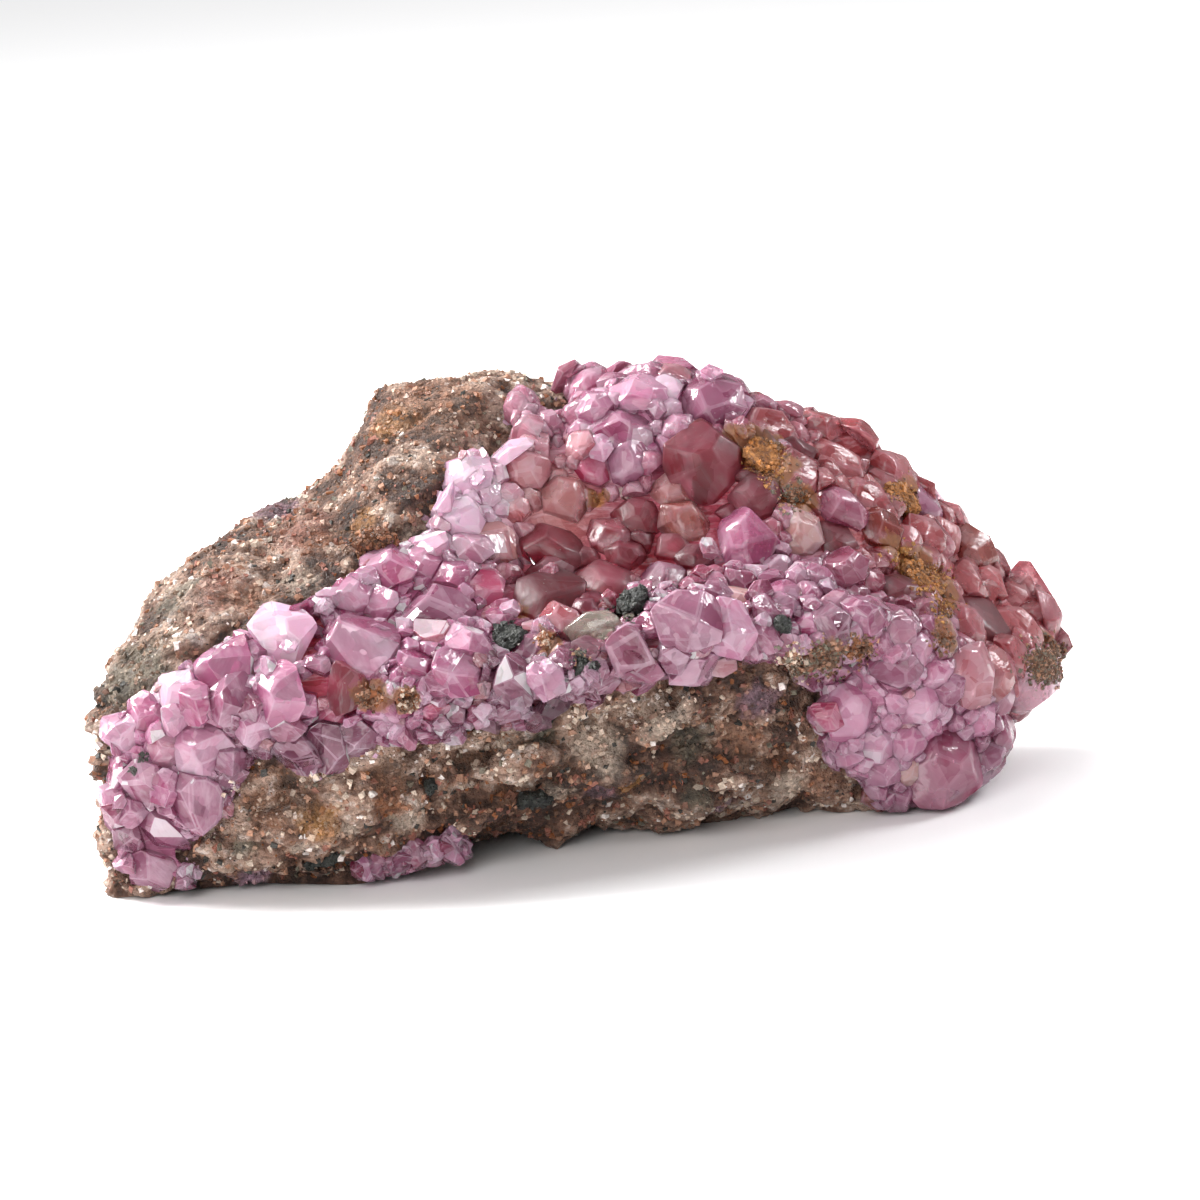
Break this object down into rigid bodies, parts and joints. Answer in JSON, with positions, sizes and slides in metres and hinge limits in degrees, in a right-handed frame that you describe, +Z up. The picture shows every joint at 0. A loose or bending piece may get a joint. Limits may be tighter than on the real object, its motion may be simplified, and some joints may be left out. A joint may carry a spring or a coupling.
{
  "type": "cobaltoan calcite specimen",
  "caption": "Hand-sized mineral specimen: a wedge of brown host rock with a glossy pink crust of blunt calcite crystals over its front, top and right end.",
  "frame": {"origin": "middle of the bounding box on the plane that the specimen rests on", "axes": "+X to the right along the specimen, +Y to its back, +Z up"},
  "size_m": [0.1114, 0.0624, 0.0515],
  "materials": {
    "rock": "rough, granular",
    "pink_calcite": "glossy, translucent",
    "seam_calcite": "glossy, translucent",
    "dark_mineral": "matt, fine-grained",
    "clear_calcite": "glossy, see-through",
    "limonite": "earthy, matt",
    "brown_oxide": "matt, fine-grained"
  },
  "bodies": {
    "root": {"host_rock": "rock", "calcite_druse": "pink_calcite", "seam_calcite": "seam_calcite", "dark_grain_seam": "dark_mineral", "dark_grain_band": "dark_mineral", "dark_grain_small": "dark_mineral", "dark_grain_ridge": "dark_mineral", "dark_grain_above_plate": "dark_mineral", "dark_grain_below_plate": "dark_mineral", "dark_grain_right": "dark_mineral", "clear_calcite_plate": "clear_calcite", "limonite_upper": "limonite", "limonite_top_right": "limonite", "limonite_right": "limonite", "brown_oxide_rosette": "brown_oxide"}
  },
  "joints": []
}
